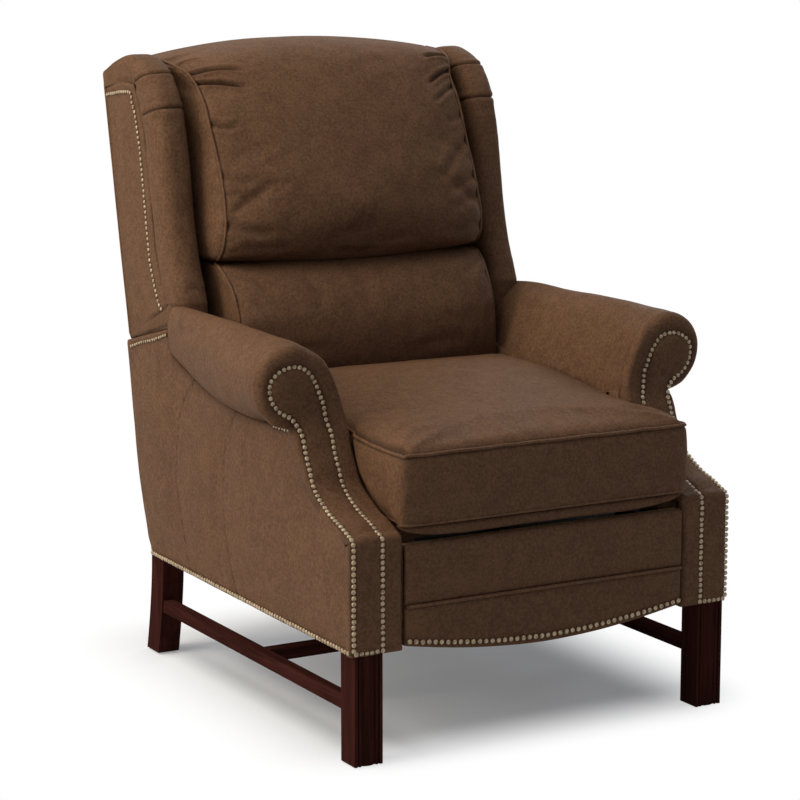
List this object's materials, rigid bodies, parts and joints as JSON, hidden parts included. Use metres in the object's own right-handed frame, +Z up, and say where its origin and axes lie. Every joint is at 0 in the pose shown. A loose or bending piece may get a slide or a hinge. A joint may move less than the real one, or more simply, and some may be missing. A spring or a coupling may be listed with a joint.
{
  "type": "wingback recliner",
  "caption": "Leather wing armchair on high legs that reclines: the back tips, the seat slides forward and a footrest swings out from the front.",
  "frame": {"origin": "on the floor under the centre of the chair's bounding box", "axes": "+Z up, the chair faces -Y, +X is on the right of a viewer who looks at its front"},
  "size_m": [0.83, 0.9312, 1.058],
  "materials": {
    "leather": "satin",
    "mahogany": "satin",
    "hardwood": "matte",
    "plywood": "matte",
    "steel": "satin",
    "webbing": "matte",
    "dust_cloth": "matte",
    "deck_cloth": "matte",
    "nylon": "matte"
  },
  "bodies": {
    "base": {"left_front_leg": "mahogany", "right_front_leg": "mahogany", "left_rear_leg": "mahogany", "right_rear_leg": "mahogany", "leg_glides": "nylon", "leg_bolts": "steel", "left_side_stretcher": "mahogany", "right_side_stretcher": "mahogany", "cross_stretcher": "mahogany", "left_side_rail": "hardwood", "right_side_rail": "hardwood", "front_cross_rail": "hardwood", "rear_rail": "hardwood", "rear_skirt": "leather", "dust_cover": "dust_cloth", "left_front_post": "hardwood", "right_front_post": "hardwood", "left_side_board": "plywood", "right_side_board": "plywood", "left_outer_panel": "leather", "right_outer_panel": "leather", "left_arm_pad": "leather", "right_arm_pad": "leather", "left_arm_front": "leather", "right_arm_front": "leather", "left_seat_track": "steel", "right_seat_track": "steel", "left_pivot_plate": "steel", "right_pivot_plate": "steel", "recline_pins": "steel"},
    "back": {"left_back_post": "hardwood", "right_back_post": "hardwood", "back_rails": "hardwood", "back_webbing": "webbing", "outside_back": "leather", "left_wing_roll": "leather", "right_wing_roll": "leather", "left_wing_board": "plywood", "right_wing_board": "plywood", "left_wing_skin": "leather", "right_wing_skin": "leather", "headrest_pillow": "leather", "lumbar_pillow": "leather", "left_back_bracket": "steel", "right_back_bracket": "steel"},
    "seat": {"seat_frame": "hardwood", "seat_webbing": "webbing", "seat_deck": "deck_cloth", "seat_cushion": "leather", "left_seat_runner": "steel", "right_seat_runner": "steel", "swing_pins": "steel"},
    "swing_link": {"swing_arms": "steel", "elbow_pins": "steel"},
    "lift_link": {"lift_arms": "steel", "board_pins": "steel"},
    "footrest": {"board_brackets": "steel", "footrest_board": "plywood", "footrest_pad": "leather"}
  },
  "joints": [
    {"name": "back_recline", "type": "hinge", "parent": "base", "child": "back", "pos_m": [0, 0.23239, 0.29], "axis": [-1, 0, 0], "range_deg": [0, 25]},
    {"name": "seat_glide", "type": "slide", "parent": "base", "child": "seat", "axis": [0, -1, 0], "range_m": [0, 0.045]},
    {"name": "footrest_swing", "type": "hinge", "parent": "seat", "child": "swing_link", "pos_m": [0, -0.3826, 0.328], "axis": [-1, 0, 0], "range_deg": [0, 80]},
    {"name": "lift_fold", "type": "hinge", "parent": "swing_link", "child": "lift_link", "pos_m": [0, -0.3826, 0.187], "axis": [-1, 0, 0], "range_deg": [-119, 0]},
    {"name": "board_turn", "type": "hinge", "parent": "lift_link", "child": "footrest", "pos_m": [0, -0.42161, 0.318], "axis": [-1, 0, 0], "range_deg": [0, 124]}
  ],
  "couplings": [
    {"joint": "seat_glide", "follows": "back_recline", "m_per_rad": 0.1031},
    {"joint": "lift_fold", "follows": "footrest_swing", "ratio": -1.48},
    {"joint": "board_turn", "follows": "footrest_swing", "ratio": 1.5425}
  ]
}
